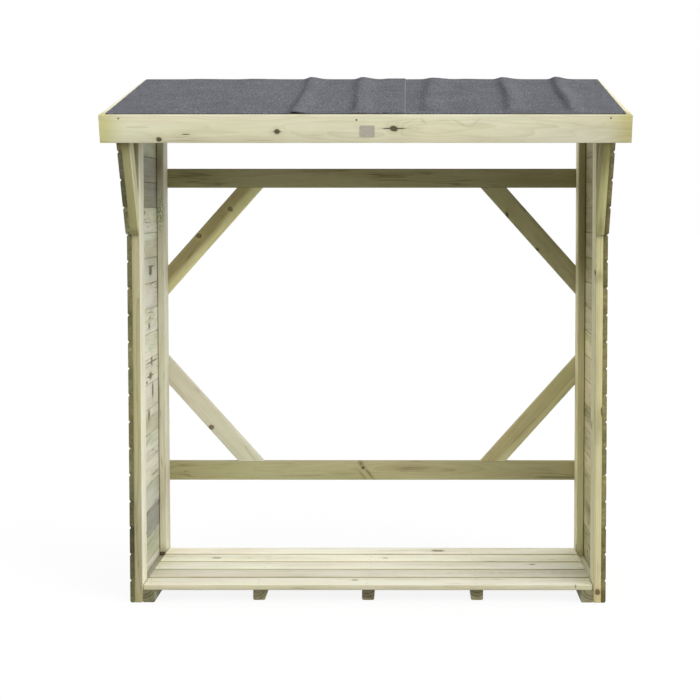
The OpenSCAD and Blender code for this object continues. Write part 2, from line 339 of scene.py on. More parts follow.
    w.fill(out, {
        "Color": colour,
        "Roughness": add(0.68, add(mul(fibre, 0.25), mul(core, -0.15))),
        "Height": add(mul(late, 0.6), add(mul(fibre, 0.6), mul(core, 0.8)))})
    return group


def knot_spot():
    """How near a place is to one chosen knot: under one inside it."""
    group, w, given, out = new_group(
        "knot_spot", {"Vector": ("Place", "Centre", "Size"), "Float": ("Lean",)}, {"Float": ("Near",)})
    aside = w.vec("SUBTRACT", given["Place"], given["Centre"])
    slant = w.xyz(w.mul(w.split(aside)[2], given["Lean"]), 0.0, 0.0)
    w.fill(out, {"Near": w.length(w.vec("DIVIDE", w.vec("SUBTRACT", aside, slant), given["Size"]))})
    return group


GRAIN_GROUP = timber_grain()
SPOT_GROUP = knot_spot()


def new_material(name):
    """A new material, the wiring to fill it, and its shader's inputs."""
    made = bpy.data.materials.new(name)
    made.use_nodes = True
    return made, Wiring(made.node_tree), made.node_tree.nodes["Principled BSDF"].inputs


def timber(name, early, late, knot=(0.09, 0.065, 0.03), ring=0.0045, depth=0.4, share=0.1, figure=0.4,
           mottle=1.0, edge=0.0, soak=0.5, spots=(), stains_and_shade=(), moss=None):
    """Softwood. Knots are given as centre, half-sizes and lean; damp stain marks and painted shade with a
    strength before the lean.
    """
    made, w, skin = new_material(name)
    place = w.place()

    def nearness(centre, size, lean=0.0):
        return w.node("Group", (place, centre, size, lean), node_tree=SPOT_GROUP)[0]

    nearest, stain_and_shade = FAR, 0.0
    for spot in spots:
        nearest = w.least(nearest, nearness(*spot))
    for centre, size, strength, *lean in stains_and_shade:
        stain_and_shade = w.most(stain_and_shade, w.mul(w.bell(nearness(centre, size, *lean), 1.0), strength))
    feeds = dict(
        zip(OWN_LOOK, (ring, depth, share, figure, mottle, edge, soak)), Early=early, Late=late, Knot=knot,
        Grain=w.attribute("grain", "Vector"), Tone=w.attribute("tone", "Vector"), Cut=w.attribute("cut"),
        Narrow=w.attribute("narrow"), End=w.attribute("end"), Spot=nearest, Stain_and_shade=stain_and_shade,
        Moss=nearness(*moss) if moss else FAR)
    look = w.node("Group", feeds, node_tree=GRAIN_GROUP)
    w.fill(skin, {
        "Base Color": look["Color"], "Roughness": look["Roughness"], "Specular IOR Level": DULL,
        "Normal": w.bump(look["Height"], strength=0.3, distance=0.001)})
    return made


# Felt and zinc

CHIP_SCALE = 560.0
CHIP_DARK, CHIP_BLUE, CHIP_GREY = (0.026, 0.028, 0.033), (0.08, 0.089, 0.106), (0.099, 0.099, 0.112)
CHIP_GLINT, CHIP_WORN, CHIP_ROLLED = (0.245, 0.25, 0.277), (0.07, 0.071, 0.078), (0.061, 0.063, 0.07)
# Painted shade for felt slopes that face left, and painted light for those that face right
SLOPE_SHADE_TINT, SLOPE_LIGHT_TINT = (0.62, 0.62, 0.63), (0.209, 0.213, 0.23)
TORN_EDGE, TORN_W = (0.278, 0.278, 0.296), 0.0014


def mineral_felt():
    """Bitumen felt faced with blue-grey chips, paler along the lap's cut edge, with painted shade and light
    on the ridges' flanks.
    """
    made, w, skin = new_material("mineral_felt")
    place = w.place()
    chip = w.node("TexVoronoi", {"Vector": place, "Scale": CHIP_SCALE})
    speck = w.split(chip["Color"])
    drift = w.noise(place, 7.0, 4.0, 0.6)[0]
    cloud = w.noise(place, 230.0, 2.0, 0.7)[0]
    roll = w.streaks(place, 2.5, 85)[0]
    colour = w.mix(speck[0], CHIP_DARK, w.mix(speck[1], CHIP_BLUE, CHIP_GREY))
    colour = w.mix(w.remap(cloud, 0.5, 0.6), colour, CHIP_GLINT)
    colour = w.mix(w.mul(w.remap(drift, 0.4, 0.65), 0.35), colour, CHIP_WORN)
    colour = w.mix(w.mul(w.remap(roll, 0.4, 0.65), 0.2), colour, CHIP_ROLLED)
    # Painted shade on the ridges' left flanks and painted light on their right flanks, by the felt's slope
    slope_shade = w.attribute("slope_shade")
    colour = w.dyed(colour, w.most(slope_shade, 0.0), SLOPE_SHADE_TINT)
    colour = w.mix(w.mul(w.least(slope_shade, 0.0), -0.25), colour, SLOPE_LIGHT_TINT)
    torn = w.bell(w.sub(w.split(place)[0], LAP_X), TORN_W)
    colour = w.mix(w.mul(torn, 0.7), colour, TORN_EDGE)
    w.fill(skin, {
        "Base Color": colour, "Roughness": w.remap(speck[0], 0.0, 1.0, 0.8, 0.95), "Specular IOR Level": DULL,
        "Normal": w.bump(w.add(speck[0], cloud), strength=0.6, distance=0.0012)})
    return made


def zinc(name, dark, pale, rough):
    """Dull zinc, clouded and slightly scratched."""
    made, w, skin = new_material(name)
    place = w.place()
    cloud = w.noise(place, 210.0, 4.0, 0.65)[0]
    scratch = w.streaks(place, 30, 900)[0]
    w.fill(skin, {
        "Base Color": w.mix(w.remap(cloud, 0.3, 0.7), dark, pale),
        "Roughness": w.add(rough, w.mul(w.sub(scratch, 0.5), 0.3)), "Metallic": 0.7})
    return made


# Boards

def round_edges(shape, edges, radius, segments):
    bmesh.ops.bevel(
        shape, geom=edges, offset=radius, offset_type="OFFSET", segments=segments,
        profile=0.5, affect="EDGES", material=-1, clamp_overlap=True)


def only(kind, geometry):
    return [g for g in geometry if isinstance(g, kind)]


def drawn_tone(name, bright=1.0, spread=0.1, green=0.3, heart=0.3):
    """How a board differs from its neighbours: brightness, green stain and dark heartwood."""
    rng = random.Random(name + " tone")
    bright *= 1 + rng.uniform(-spread, spread)
    return bright, rng.uniform(0, 2 * green), rng.uniform(0, 2 * heart)


class Board:
    """One board: made along its own length, given its grain, then put in place and trimmed."""

    SLICE = 0.12

    def __init__(self, name, length, tone=None, pith=None):
        self.rng = random.Random(name)
        self.length, self.pith = length, pith
        self.tone = Vector(tone or drawn_tone(name))
        self.mesh = bmesh.new()
        verts, faces = self.mesh.verts.layers, self.mesh.faces.layers
        self.grain, self.shade = verts.float_vector.new("grain"), verts.float_vector.new("tone")
        self.end = verts.float.new("end")
        self.cut, self.narrow = faces.float.new("cut"), faces.float.new("narrow")

    def sliced(self, point, outward, **more):
        """Cuts through the whole board along a plane."""
        whole = self.mesh.verts[:] + self.mesh.edges[:] + self.mesh.faces[:]
        return bmesh.ops.bisect_plane(self.mesh, geom=whole, plane_co=point, plane_no=outward, **more)

    def squared(self, width, thick, ease):
        """A planed bar with its long edges rounded and its ends lightly broken."""
        def reach(edge):
            return abs(edge.verts[0].co.x - edge.verts[1].co.x)

        stretch = Matrix.Diagonal((self.length, width, thick, 1))
        stretch.translation.x = self.length / 2
        bmesh.ops.create_cube(self.mesh, size=1.0, matrix=stretch)
        round_edges(self.mesh, [e for e in self.mesh.edges if reach(e) > self.length / 2], ease, 3)
        round_edges(self.mesh, [e for e in self.mesh.edges if reach(e) < 1e-6], END_EASE, 1)
        return self

    def moulded(self, outline):
        """A bar with the outline of a section across its length."""
        face = self.mesh.faces.new([self.mesh.verts.new((0, a, b)) for a, b in outline])
        pushed = bmesh.ops.extrude_face_region(self.mesh, geom=[face])["geom"]
        bmesh.ops.translate(self.mesh, vec=X_AXIS * self.length, verts=only(bmesh.types.BMVert, pushed))
        bmesh.ops.recalc_face_normals(self.mesh, faces=self.mesh.faces)
        return self

    def grown(self, bow=0.0005, cup=0.0002):
        """Slices the board, gives it grain and tone, and lets it move a little in drying."""
        slices = max(2, round(self.length / self.SLICE))
        for i in range(1, slices):
            self.sliced((self.length * i / slices, 0, 0), X_AXIS)
        self.mesh.normal_update()
        for face in self.mesh.faces:
            face[self.narrow] = 1.0 if abs(face.normal.y) > 0.5 else 0.0
        rng = self.rng
        pith = self.pith or (rng.uniform(-0.05, 0.05), rng.choice((-1, 1)) * rng.uniform(0.015, 0.075))
        from_pith = Vector((rng.uniform(0, 60), -pith[0], -pith[1]))
        width = max(abs(v.co.y) for v in self.mesh.verts)
        bend = [(rng.uniform(-bow, bow), rng.uniform(0.5, 1.5), rng.uniform(0, math.tau)) for _ in range(2)]
        cupping = rng.uniform(-cup, cup)
        for vert in self.mesh.verts:
            vert[self.grain] = vert.co + from_pith
            vert[self.shade] = self.tone
            vert[self.end] = min(vert.co.x, self.length - vert.co.x)
            share = vert.co.x / self.length
            taper = math.sin(math.pi * share)
            vert.co.z += taper * sum(a * math.sin(math.tau * n * share + p) for a, n, p in bend)
            vert.co.z += cupping * taper * (1 - (vert.co.y / width) ** 2)
        return self

    def paint_corner_shade(self, side, reach, strength):
        """Paints shade on the front face along its outer corner, beside the boards on that side."""
        edge = max(v.co.z * side for v in self.mesh.verts) - reach
        self.sliced((0, 0, edge * side), (0, 0, side))
        for vert in self.mesh.verts:
            if vert.co.z * side > edge + 0.0002 and vert.co.y < 0:
                vert[self.shade] = self.tone * strength

    def placed(self, start, along, across):
        """Lays the board from its start, by the directions along and across it."""
        turn = Matrix((along, across, along.cross(across))).transposed().to_4x4()
        bmesh.ops.transform(self.mesh, matrix=Matrix.Translation(start) @ turn, verts=self.mesh.verts)
        self.along = along
        return self

    def trimmed(self, point, outward):
        """Saws off what lies beyond a plane and closes the cut."""
        cut = self.sliced(point, outward, dist=1e-6, clear_outer=True)
        edges = only(bmesh.types.BMEdge, cut["geom_cut"])
        if edges:
            bmesh.ops.edgeloop_fill(self.mesh, edges=edges)

    def finished(self):
        self.mesh.normal_update()
        for face in self.mesh.faces:
            face[self.cut] = 1.0 if abs(face.normal.dot(self.along)) > 0.6 else 0.0
        return self.mesh


def mesh_from(name, shape):
    """The mesh of a finished shape, which is let go."""
    mesh = bpy.data.meshes.new(name)
    shape.to_mesh(mesh)
    shape.free()
    return mesh


def add_object(name, data):
    made = bpy.data.objects.new(name, data)
    bpy.context.scene.collection.objects.link(made)
    return made


def add_piece(name, shape, finish, node=None, slot=None, smooth_angle=40):
    """A piece that rides on the frame and stands for any node given."""
    mesh = mesh_from(name, shape)
    made = add_object(name, mesh)
    mesh.materials.append(finish)
    mesh.shade_smooth()
    mesh.set_sharp_from_angle(angle=math.radians(smooth_angle))
    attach(made, "root")
    if node:
        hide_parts(node)
    return made


def add_boards(node, boards, finish, slot="frame_timber"):
    """One piece from the boards that stand for a node."""
    joined = bmesh.new()
    for board in boards:
        loose = mesh_from("loose", board.finished())
        joined.from_mesh(loose)
        bpy.data.meshes.remove(loose)
    add_piece(f"{node}_timber", joined, finish, node, slot)


def add_squared(node, length, section, lay, finish, tone=None, trims=(), slot="frame_timber", pith=None,
                **drying):
    """A squared board: its width, thickness and easing, how it lies, and the planes that trim it."""
    board = Board(node, length, tone, pith).squared(*section).grown(**drying).placed(*lay)
    for plane in trims:
        board.trimmed(*plane)
    add_boards(node, [board], finish, slot)


def add_box_board(node, along, across, ease, finish, tone, **more):
    """A squared board that fills its node's box, by the axes along and across it."""
    low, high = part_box(node)
    size, middle = high - low, (low + high) / 2
    length, thick = size.dot(along), abs(size.dot(along.cross(across)))
    lay = (middle - along * length / 2, along, across)
    add_squared(node, length, (size.dot(across), thick, ease), lay, finish, tone, **more)


def tongued_section(cover, thick, groove=True, tongue=True):
    """Outline of a tongued board with V edges, its plain face below."""
    end, half = cover - JOINT, thick / 2
    tongue_half, groove_half = TONGUE_T / 2, TONGUE_T / 2 + TONGUE_FIT
    groove_l = TONGUE_L + 2 * TONGUE_FIT
    outline = [(0, ARRIS - half), (ARRIS, -half), (end - ARRIS, -half), (end, ARRIS - half)]
    if tongue:
        outline += [(end, -tongue_half), (end + TONGUE_L, -tongue_half)]
        outline += [(end + TONGUE_L, tongue_half), (end, tongue_half)]
    outline += [(end, half - VEE_D), (end - VEE_W, half), (VEE_W, half), (0, half - VEE_D)]
    if groove:
        outline += [(0, groove_half), (groove_l, groove_half), (groove_l, -groove_half), (0, -groove_half)]
    return outline


# Places of knots, stain marks and painted shade

def on_fascia(x, down):
    """A place on the fascia's front face, by distance below its top."""
    return roof_point(x, -RUN_FRONT, DECK_T - down)


def on_slat(number, x, share=0.5):
    """A place on a slat's top, by its share of the width from the front."""
    low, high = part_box(f"floor_slat_{number}")
    return Vector((x, low.y + share * (high.y - low.y), high.z))


def on_slat_edge(x, down):
    """A place on the front slat's front edge, by distance below its top."""
    return on_slat(1, x, 0.0) - Z_AXIS * down


def on_bracket(sign, share):
    """A place on a roof bracket's front face, by its share of the way up."""
    return FLARE_FOOT.lerp(FLARE_HEAD, share) + X_AXIS * sign * POST_MID


def post_face(sign, y):
    """Places on a post's front face, by distance right of its middle and height."""
    return lambda right, z: Vector((sign * POST_MID + right, y, z))


def back_face(sign, edge_z):
    """Places on back rails and braces, by distance in from a post and up from a rail's edge."""
    return lambda inward, up: Vector((sign * (POST_IN - inward), rail_low.y, edge_z + up))


on_right_front, on_left_back = post_face(1, FRONT), post_face(-1, BACK - POST_D)
on_upper_left, on_upper_right = back_face(-1, rail_low.z), back_face(1, rail_low.z)
on_lower_left = back_face(-1, sill_high.z)


def marks(place, *rows, through=0.03):
    """Knots, or stain marks and painted shade, on one face: place, half-sizes along and up, and any strength
    and lean.
    """
    return [(place(a, b), (along, through, up), *rest) for a, b, along, up, *rest in rows]


def board_marks(sign, *rows, through=0.012):
    """The same on the side boards' inner face, places given by y and z."""
    return [(Vector((sign * POST_OUT, y, z)), (through, along, up), *rest) for y, z, along, up, *rest in rows]


# Finishes

OLIVE = (0.365, 0.326, 0.157)
LEFT_POST_TIMBER = timber(
    "left_post_timber", (0.687, 0.674, 0.561), (0.4, 0.357, 0.209), depth=0.55, edge=1.0,
    stains_and_shade=marks(post_face(-1, FRONT), (0.0, 0.19, 0.05, 0.26, 0.28), through=0.004))
# Painted shade: the stain at the top of the front face under the roof, and the knot-like spot and stain at
# its foot
MOSSY_TIMBER = timber(
    "mossy_timber", (0.696, 0.678, 0.561), (0.435, 0.4, 0.235), edge=0.36,
    moss=(on_left_back(0.002, 1.395), (0.02, 0.05, 0.075)),
    spots=marks(on_left_back, (-0.003, 0.053, 0.012, 0.007)),
    stains_and_shade=marks(
        on_left_back, (-0.004, 1.56, 0.016, 0.1, 0.9), (0.0, 0.29, 0.03, 0.09, 0.4),
        (0.0, 0.062, 0.03, 0.022, 0.6))
    + [(on_left_back(POST_T / 2, 0.35) + Y_AXIS * 0.03, (0.012, 0.05, 0.35), 0.3)])
FRAME_TIMBER = timber(
    "frame_timber", (0.675, 0.645, 0.45), OLIVE, depth=0.5, edge=0.7, ring=0.0065,
    spots=marks(
        on_right_front, (0.0, 0.039, 0.009, 0.01), (0.015, 0.687, 0.006, 0.016),
        (-0.016, 1.18, 0.004, 0.012)),
    stains_and_shade=marks(
        on_right_front, (0.004, 0.645, 0.03, 0.06, 0.5), (0.0, 1.168, 0.03, 0.022, 0.6),
        (0.0, 0.84, 0.03, 0.1, 0.2)))
# The stain on the upper front face is painted shade under the roof
SHADED_TIMBER = timber(
    "shaded_post_timber", (0.643, 0.6, 0.409), OLIVE, edge=0.6,
    stains_and_shade=marks(post_face(1, BACK - POST_D), (0.0, 1.4, 0.05, 0.35, 1.2)))
RAIL_LOOK = dict(early=(0.487, 0.452, 0.258), late=(0.296, 0.258, 0.114), share=0.0, mottle=0.9)
# The first stain, darkening the right of the upper rail, is painted shade from the right side
RAIL_TIMBER = timber(
    "rail_timber", **RAIL_LOOK,
    spots=marks(on_lower_left, (0.769, -0.026, 0.0055, 0.005))
    + marks(on_upper_right, (0.272, -0.109, 0.005, 0.012), (0.152, -0.244, 0.007, 0.005)),
    stains_and_shade=marks(on_upper_right, (0.1, 0.037, 0.35, 0.07, 0.3)) + marks(
        on_lower_left, (0.08, -0.037, 0.16, 0.07, 0.22), (0.76, -0.008, 0.009, 0.016, 1.0, -0.3),
        (0.794, -0.05, 0.0065, 0.028, 1.0, -0.8), (0.769, -0.058, 0.006, 0.022, 0.7, -0.8)))
BRACE_LEAN = BRACE_REACH / BRACE_DROP
# The stain is partly painted shade under the roof, partly the timber's own two tones, and leaves a pale
# stripe along the brace
TWO_TONE_SHADED_TIMBER = timber(
    "two_tone_shaded_timber", **RAIL_LOOK,
    spots=marks(on_upper_left, (0.246, -0.085, 0.009, 0.009), (0.121, -0.19, 0.01, 0.008)),
    stains_and_shade=marks(on_upper_left, (BRACE_REACH / 2 - 0.088, -BRACE_DROP / 2, 0.056, 1.0, 1.5, BRACE_LEAN)))
PALE_TIMBER = timber(
    "pale_brace_timber", (0.696, 0.674, 0.535), (0.487, 0.443, 0.287), knot=(0.16, 0.11, 0.055), share=0.0,
    spots=marks(on_lower_left, (0.166, 0.136, 0.01, 0.008)))
# The stain at the bracket's head is painted shade under the roof; the one at its foot is a stain
BRACKET_TIMBER = timber(
    "bracket_timber", (0.487, 0.478, 0.239), (0.261, 0.239, 0.087), depth=0.6, mottle=1.5,
    stains_and_shade=[(on_bracket(1, 1.0), (0.05, 0.08, 0.14), 1.4), (on_bracket(1, 0.03), (0.03, 0.04, 0.03), 0.5)])
# The stain at the bracket's head is painted shade under the roof; the one at its foot is a stain
PALE_BRACKET_TIMBER = timber(
    "pale_bracket_timber", (0.756, 0.74, 0.5), (0.52, 0.49, 0.3), depth=0.6, mottle=1.5, edge=1.0,
    stains_and_shade=[
        (on_bracket(-1, 1.0), (0.03, 0.02, 0.05), 0.8), (on_bracket(-1, 0.02), (0.03, 0.02, 0.014), 0.7)])
CLAD_TIMBER = timber(
    "cladding_timber", (0.626, 0.62, 0.53), (0.348, 0.325, 0.215), share=0.4, edge=0.35, soak=0.7,
    spots=board_marks(
        -1, (0.141, 1.17, 0.024, 0.015), (0.15, 1.187, 0.045, 0.0028), (0.15, 0.826, 0.014, 0.013),
        (0.156, 0.824, 0.09, 0.0024), (0.123, 0.773, 0.022, 0.012), (0.123, 0.773, 0.055, 0.003),
        (0.054, 0.756, 0.012, 0.005), (0.167, 0.713, 0.012, 0.024), (0.088, 0.628, 0.014, 0.018),
        through=0.01),
    stains_and_shade=board_marks(
        -1, (0.1, 1.55, 0.6, 0.1, 0.5), (0.16, 1.21, 0.15, 0.018, 0.4), (0.1, 0.215, 0.4, 0.045, 0.5)))
# The first stain, over the upper boards, is painted shade under the roof; the others are stains
WARM_CLAD_TIMBER = timber(
    "warm_cladding_timber", (0.678, 0.626, 0.396), (0.365, 0.317, 0.148), share=0.4, edge=0.35,
    stains_and_shade=board_marks(
        1, (0.1, 1.42, 0.6, 0.33, 0.9), (0.15, 0.628, 0.12, 0.02, 0.55), (0.15, 0.25, 0.12, 0.05, 0.9)))
BEARER_TIMBER = timber(
    "bearer_timber", (0.574, 0.539, 0.357), (0.226, 0.204, 0.113), ring=0.011, depth=0.8, share=0.0,
    figure=0.2, soak=0.0)
SLAT_LOOK = dict(
    early=(0.739, 0.722, 0.612), late=(0.539, 0.491, 0.348), knot=(0.2, 0.165, 0.1),
    depth=0.35, share=0.05, mottle=1.3, soak=0.2)
# The long stain along the lower front edge is painted shade under the arris
FRONT_SLAT_TIMBER = timber(
    "front_slat_timber", **SLAT_LOOK, edge=0.72,
    spots=[(on_slat(1, -0.049, 0.7), (0.01, 0.006, 0.02))]
    + marks(on_slat_edge, (0.742, 0.004, 0.0022, 0.007), through=0.006),
    stains_and_shade=marks(
        on_slat_edge, (0.0, 0.019, 1.6, 0.005, 0.45), (0.1, 0.008, 0.1, 0.01, 0.25), through=0.01))
FLOOR_TIMBER = timber(
    "floor_timber", **SLAT_LOOK, edge=1.0,
    spots=[
        (on_slat(4, -0.594), (0.015, 0.009, 0.02)), (on_slat(4, 0.056), (0.009, 0.005, 0.02)),
        (on_slat(5, 0.26), (0.022, 0.013, 0.02))],
    stains_and_shade=[(on_slat(2, 0.3 + 0.038 * mark, 0.6), (0.01, 0.006, 0.02), 0.35) for mark in range(13)])
TRIM_TIMBER = timber(
    "trim_timber", (0.704, 0.678, 0.496), (0.47, 0.417, 0.235), knot=(0.05, 0.038, 0.018), ring=0.0055,
    depth=0.5, share=0.03, figure=1.2, mottle=1.4, soak=1.0,
    spots=marks(
        on_fascia, (-0.299, 0.056, 0.009, 0.008), (-0.299, 0.056, 0.014, 0.0018),
        (0.096, 0.045, 0.0125, 0.0085), (0.097, 0.045, 0.034, 0.0022), (-0.7, 0.083, 0.008, 0.007),
        (-0.608, 0.065, 0.012, 0.0014), through=0.06),
    stains_and_shade=marks(
        on_fascia, (0.15, 0.02, 0.005, 0.01, 0.34, 3.0), (0.196, 0.022, 0.005, 0.011, 0.44, -0.8),
        (0.183, 0.034, 0.016, 0.003, 0.24), (0.262, 0.017, 0.022, 0.003, 0.24),
        (0.318, 0.027, 0.006, 0.013, 0.36, -1.8), (0.372, 0.024, 0.006, 0.01, 0.32, 1.2),
        (0.352, 0.038, 0.014, 0.003, 0.26), (0.135, 0.06, 0.05, 0.04, 0.14),
        (0.84, 0.05, 0.18, 0.09, 0.22), through=0.06))
FELT = mineral_felt()
NAIL_ZINC = zinc("nail_zinc", (0.104, 0.096, 0.074), (0.226, 0.209, 0.174), 0.5)
PLATE_ZINC = zinc("plate_zinc", (0.365, 0.339, 0.278), (0.452, 0.417, 0.348), 0.55)


# Side frames

POSTS = {
    "left_front_post": (LEFT_POST_TIMBER, (1.05, 0.15, 0.0)),
    "left_back_post": (MOSSY_TIMBER, (1.06, 0.3, 0.1)),
    "right_front_post": (FRAME_TIMBER, (1.21, 0.25, 0.2)),
    "right_back_post": (SHADED_TIMBER, (1.36, 0.4, 0.3)),
}
BRACKETS = {
    "left": (PALE_BRACKET_TIMBER, (0.82, 0.5, 0.2)),
    "right": (BRACKET_TIMBER, (1.16, 0.5, 0.3)),
}
CLADDING = {"left": CLAD_TIMBER, "right": WARM_CLAD_TIMBER}
BOARD_TONES = {  # brightness of boards that stand out, by row
    "left": {
        1: 0.82, 2: 0.56, 3: 0.83, 4: 1.1, 5: 1.04, 6: 0.96, 7: 1.08, 8: 1.12,
        9: 1.24, 10: 1.3, 12: 1.08, 13: 1.14, 14: 1.26, 15: 0.6, 16: 0.68},
    "right": {0: 0.8, 1: 0.88, 4: 1.12, 5: 1.08, 7: 1.22, 8: 1.12, 9: 1.25, 10: 1.05},
}
FOOT_RAIL_BRIGHT = {"left": 0.74, "right": 1.25}
CORNER_W, CORNER_SHADE = 0.0045, 0.4  # painted shade in the corner between the back posts and the boards


def row_low(row):
    """The lower edge of a cladding board."""
    return 0.0 if row == 0 else CLAD_FIRST + (row - 1) * CLAD_COVER


def side_post(side, sign, which, low_y):
    name = f"{side}_{which}_post"
    finish, tone = POSTS[name]
    board = Board(name, EAVES + POST_SPARE, tone).squared(POST_D, POST_T, FRAME_EASE).grown()
    if which == "back":
        # Painted shade in the corner where the back post meets the boards
        board.paint_corner_shade(-sign, CORNER_W, CORNER_SHADE)
    board.placed(Vector((sign * POST_MID, low_y + POST_D / 2, 0)), Z_AXIS, Y_AXIS)
    board.trimmed(Vector((0, FRONT, EAVES)), OFF_SLOPE)
    add_boards(name, [board], finish)


def side_rails(side, sign):
    centre_x, span = sign * POST_MID, BACK - FRONT - 2 * POST_D
    add_squared(
        f"{side}_bottom_rail", span, (FOOT_RAIL_H, POST_T, FRAME_EASE),
        (Vector((centre_x, FRONT + POST_D, FOOT_RAIL_H / 2)), Y_AXIS, Z_AXIS),
        PALE_TIMBER, (FOOT_RAIL_BRIGHT[side], 0.2, 0.0))
    start = roof_point(centre_x, POST_D / RUN - TOP_RAIL_SPARE, -TOP_RAIL_H / 2)
    add_squared(
        f"{side}_top_rail", span / RUN + 2 * TOP_RAIL_SPARE, (TOP_RAIL_H, POST_T, FRAME_EASE),
        (start, UP_SLOPE, OFF_SLOPE), FRAME_TIMBER,
        trims=[(Y_AXIS * (FRONT + POST_D), -Y_AXIS), (Y_AXIS * (BACK - POST_D), Y_AXIS)])


def roof_bracket(side, sign):
    finish, tone = BRACKETS[side]
    start = FLARE_FOOT - FLARE_DIR * BRACKET_SPARE - FLARE_OUT * BRACKET_D / 2 + X_AXIS * sign * POST_MID
    add_squared(
        f"{side}_roof_bracket", BRACKET_BLANK, (BRACKET_D, POST_T, TRIM_EASE), (start, FLARE_DIR, FLARE_OUT),
        finish, tone, [
            (FLARE_FOOT, -Z_AXIS), (Y_AXIS * FRONT, Y_AXIS),
            (roof_point(0, -RUN_DECK, 0), -UP_SLOPE), (roof_point(0, 0, 0), OFF_SLOPE)])


def side_cladding(side, sign):
    """Tongued boards, upright to the flare's foot and stepping out with it above."""
    name = f"{side}_cladding"
    boards = []
    top = EAVES + (BACK - FRONT) * SLOPE - CLAD_DROP / RUN
    for row in range(1 + math.ceil((top - CLAD_FIRST) / CLAD_COVER)):
        flared = row > FLARE_ROW
        front = FLARE_HEAD.y - CLAD_SPARE if flared else FRONT
        tone = drawn_tone(f"{name} {row}", BOARD_TONES[side].get(row, 1.0), 0.09, 0.6, 0.3)
        board = Board(f"{name} {row}", BACK - front, tone)
        section = tongued_section(CLAD_COVER if row else CLAD_FIRST, CLAD_T, groove=row > 0)
        board.moulded(section).grown(bow=0.0003, cup=0.0)
        start_y = front if sign > 0 else BACK
        board.placed(Vector((sign * (POST_OUT + CLAD_T / 2), start_y, row_low(row))), Y_AXIS * sign, Z_AXIS)
        if flared:
            board.trimmed(FLARE_FOOT, FLARE_OUT)
            board.trimmed(roof_point(0, -RUN_DECK, 0), -UP_SLOPE)
            board.trimmed(roof_point(0, 0, -CLAD_DROP), OFF_SLOPE)
        if board.mesh.faces:
            boards.append(board)
    add_boards(name, boards, CLADDING[side], "cladding_timber")


for side, sign in SIDES:
    side_post(side, sign, "front", FRONT)
    side_post(side, sign, "back", BACK - POST_D)
    side_rails(side, sign)
    roof_bracket(side, sign)
    side_cladding(side, sign)


# Back rails and braces

# The upper rail's lower brightness is partly painted shade under the roof
for name, tone in (("back_rail_upper", (0.74, 0.5, 0.8)), ("back_rail_lower", (0.9, 0.4, 0.3))):
    add_box_board(name, X_AXIS, Z_AXIS, FRAME_EASE, RAIL_TIMBER, tone)


def brace(name, sign, rail_z, up, finish, tone):
    """A brace from a rail's edge to the post, up telling whether the rail is above it."""
    along = Vector((sign * BRACE_REACH, 0, -up * BRACE_DROP)).normalized()
    inward = Vector((sign * BRACE_DROP, 0, up * BRACE_REACH)).normalized()
    foot = Vector((sign * (POST_IN - BRACE_REACH), (rail_low.y + rail_high.y) / 2, rail_z))
    add_squared(
        name, BRACE_BLANK, (BRACE_W, rail_high.y - rail_low.y, FRAME_EASE),
        (foot + inward * BRACE_W / 2 - along * BRACE_SPARE, along, inward), finish, tone,
        [(Z_AXIS * rail_z, Z_AXIS * up), (X_AXIS * sign * POST_OUT, X_AXIS * sign)])


# The upper braces are darker than the lower ones, partly as painted shade under the roof
brace("upper_left_brace", -1, rail_low.z, 1, TWO_TONE_SHADED_TIMBER, (1.76, 0.4, 0.2))
brace("upper_right_brace", 1, rail_low.z, 1, RAIL_TIMBER, (0.84, 0.5, 0.6))
brace("lower_left_brace", -1, sill_high.z, -1, PALE_TIMBER, (0.93, 0.2, 0.2))
brace("lower_right_brace", 1, sill_high.z, -1, RAIL_TIMBER, (1.36, 0.2, 0.5))


# Floor

BEARER_BRIGHT = (0.65, 0.78, 0.69, 0.9, 0.8)  # from left to right
# The back slats' higher brightness is partly painted light
SLAT_BRIGHT = (1.09, 0.97, 1.16, 1.31, 1.32)  # from the front slat to the back one

for i in FLOOR_ROWS:
    add_box_board(
        f"floor_bearer_{i}", Y_AXIS, X_AXIS, BEARER_EASE, BEARER_TIMBER, (BEARER_BRIGHT[i - 1], 0.5, 0.4),
        slot="floor_timber", pith=(-0.012 * (3 - i), -0.032), bow=0.0, cup=0.0)
    add_box_board(
        f"floor_slat_{i}", X_AXIS, Y_AXIS, SLAT_EASE, FRONT_SLAT_TIMBER if i == 1 else FLOOR_TIMBER,
        (SLAT_BRIGHT[i - 1], 0.15, 0.1), slot="floor_timber")


# Roof

def roof_deck():
    """Tongued boards from the fascia to the back, the last one taking up what is left."""
    boards = []
    run, last = -RUN_DECK, False
    while not last:
        last = RUN_BACK - run <= (1 + LEAST_COVER) * DECK_COVER
        cover = RUN_BACK - run + JOINT if last else DECK_COVER
        board = Board(f"deck {len(boards)}", 2 * DECK_HALF)
        board.moulded(tongued_section(cover, DECK_T, groove=bool(boards), tongue=not last))
        board.grown(bow=0.0, cup=0.0).placed(roof_point(DECK_HALF, run, DECK_T / 2), -X_AXIS, UP_SLOPE)
        boards.append(board)
        run += DECK_COVER
    add_boards("roof_boards", boards, CLAD_TIMBER, "cladding_timber")


def slope_board(name, x, thick, height, top, finish, tone=None, **more):
    """A board up the roof's slope, sawn upright behind, its top told from the roof boards' underside."""
    lay = (roof_point(x, -RUN_DECK, top - height / 2), UP_SLOPE, OFF_SLOPE)
    trims = [(roof_point(0, RUN_BACK, top), Y_AXIS)]
    add_squared(name, ROOF_RUN, (height, thick, TRIM_EASE), lay, finish, tone, trims, **more)


